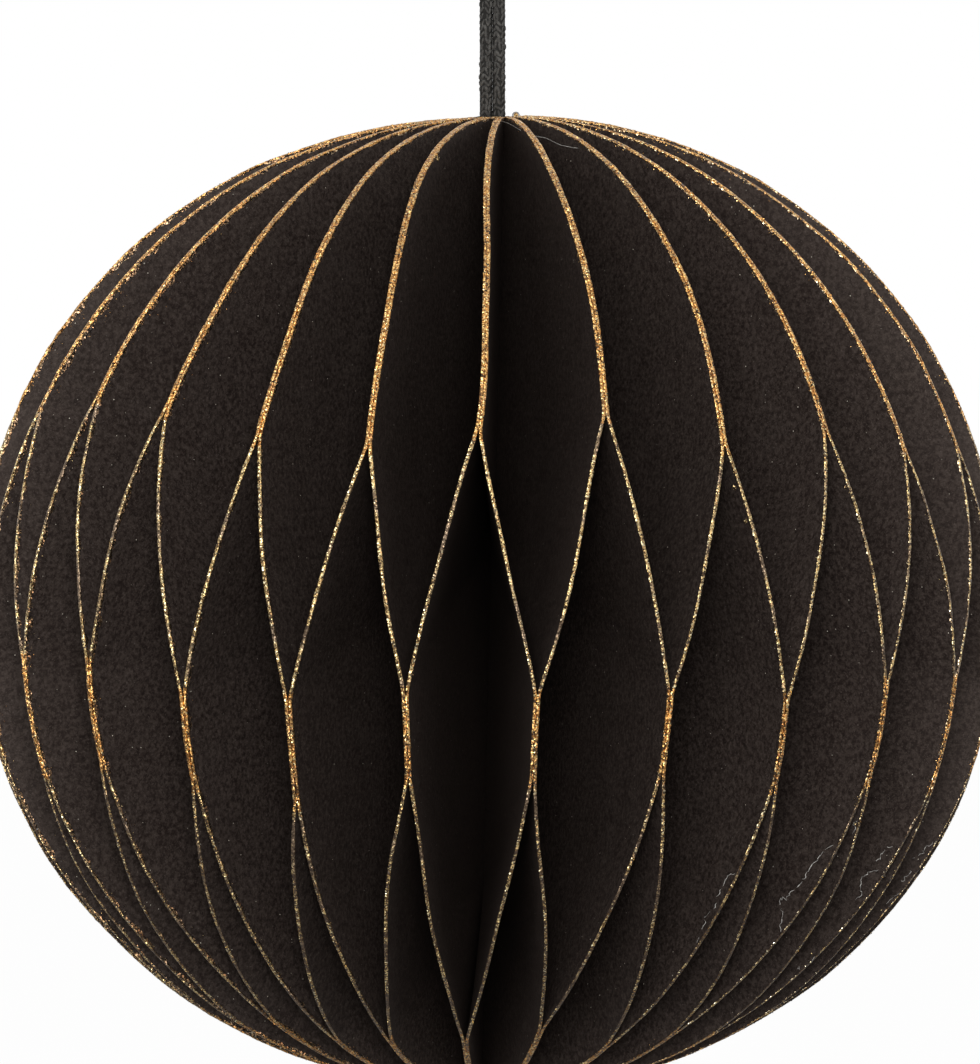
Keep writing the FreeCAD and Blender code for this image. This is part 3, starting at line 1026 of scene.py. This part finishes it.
def make_floor():
    mesh = bpy.data.meshes.new("floor")
    h = FLOOR_SIZE / 2
    z = -FLOOR_DROP * MM
    mesh.from_pydata([(-h, -h, z), (h, -h, z), (h, h, z), (-h, h, z)], [], [(0, 1, 2, 3)])
    floor = bpy.data.objects.new("floor", mesh)
    bpy.context.scene.collection.objects.link(floor)
    n = Nodes("pale_floor")
    n.shader.inputs["Base Color"].default_value = (0.86, 0.86, 0.86, 1.0)
    n.shader.inputs["Roughness"].default_value = 0.9
    rays = n.add("ShaderNodeLightPath")
    white = n.add("ShaderNodeEmission", Color=(1, 1, 1, 1), Strength=1.0)
    mixer = n.add("ShaderNodeMixShader")
    share = n.maths("MULTIPLY", rays.outputs["Is Camera Ray"], FLOOR_WHITE_SHARE)
    n.join(share, mixer, "Fac")
    n.join(n.shader.outputs["BSDF"], mixer, 1)
    n.join(white.outputs["Emission"], mixer, 2)
    n.join(mixer.outputs["Shader"], n.tree.nodes["Material Output"], "Surface")
    mesh.materials.append(n.material)


WORLD_LIGHT = 0.14


def make_world():
    """White where it is seen or mirrored, and dim as a light."""
    world = bpy.data.worlds.new("studio")
    bpy.context.scene.world = world
    world.use_nodes = True
    tree = world.node_tree
    rays = tree.nodes.new("ShaderNodeLightPath")
    level = rays.outputs["Is Camera Ray"]
    for ray in ("Is Glossy Ray", "Is Transmission Ray"):
        either = tree.nodes.new("ShaderNodeMath")
        either.operation = "MAXIMUM"
        tree.links.new(level, either.inputs[0])
        tree.links.new(rays.outputs[ray], either.inputs[1])
        level = either.outputs["Value"]
    strength = tree.nodes.new("ShaderNodeMapRange")
    strength.inputs["To Min"].default_value = WORLD_LIGHT
    strength.inputs["To Max"].default_value = 1.0
    tree.links.new(level, strength.inputs["Value"])
    background = tree.nodes["Background"]
    background.inputs["Color"].default_value = (1, 1, 1, 1)
    tree.links.new(strength.outputs["Result"], background.inputs["Strength"])


def make_lamp(name, azimuth, elevation, distance, size, level):
    """Round soft lamp; its level is how bright it makes a white card that faces it."""
    data = bpy.data.lights.new(name, "AREA")
    data.shape = "DISK"
    data.size = size
    data.energy = level * (math.pi * distance) ** 2
    lamp = bpy.data.objects.new(name, data)
    bpy.context.scene.collection.objects.link(lamp)
    a, e = math.radians(azimuth), math.radians(elevation)
    way = Vector((math.sin(a) * math.cos(e), -math.cos(a) * math.cos(e), math.sin(e)))
    lamp.location = way * distance
    lamp.rotation_euler = way.to_track_quat("Z", "Y").to_euler()


# Name, azimuth, elevation, distance, size and level of each lamp
LAMPS = [("front", 0, 10, 1.8, 0.5, 0.5), ("key", 2, 34, 1.8, 0.8, 0.2),
         ("fill", -16, 12, 1.8, 0.8, 0.2)]


view = View()
make_camera(view)
cotton = cord_material("black_cotton", (0.028, 0.027, 0.025), (0.094, 0.090, 0.084),
                       (0.148, 0.142, 0.132))
# Darker cotton for the core between the stitches: painted shade in the gaps.
core_painted_shade = cord_material("cotton_core_painted_shade", (0.012, 0.012, 0.011), (0.030, 0.029, 0.027),
                      (0.030, 0.029, 0.027))
make_cord([cotton, core_painted_shade])
anchor = bpy.data.objects["cord_anchor_knot"]
for material_slot in anchor.material_slots:
    material_slot.material = cotton
# In each glitter, the lower of the two cover numbers is used at the bottom of the ball: painted
# shade.
leaf_materials = [card_material(),
                  glitter_material("gold_glitter", JOINED_TINTS, BARE_GLUE, 0.60, 0.88, 0.25),
                  lint_material(),
                  glitter_material("gold_on_free_rims", SINGLE_TINTS, BARE_GLUE, 0.40, 0.80, 0.95),
                  glitter_material("spilled_gold", SPILL_TINTS, BARE_CARD, 0.52, 0.62, 0.4)]
leaf_shapes = [Shape(Leaf(name), number) for number, name in enumerate(LEAVES)]
leaf_threads, leaf_clumps = threads_and_clumps(view, leaf_shapes)
for number, (leaf_name, leaf_shape) in enumerate(zip(LEAVES, leaf_shapes)):
    make_leaf(view, leaf_name, number, leaf_shape, leaf_threads.get(number, []),
              leaf_clumps.get(number, []), leaf_materials)
make_floor()
make_world()
for lamp_settings in LAMPS:
    make_lamp(*lamp_settings)
bpy.context.scene.view_settings.view_transform = "Standard"
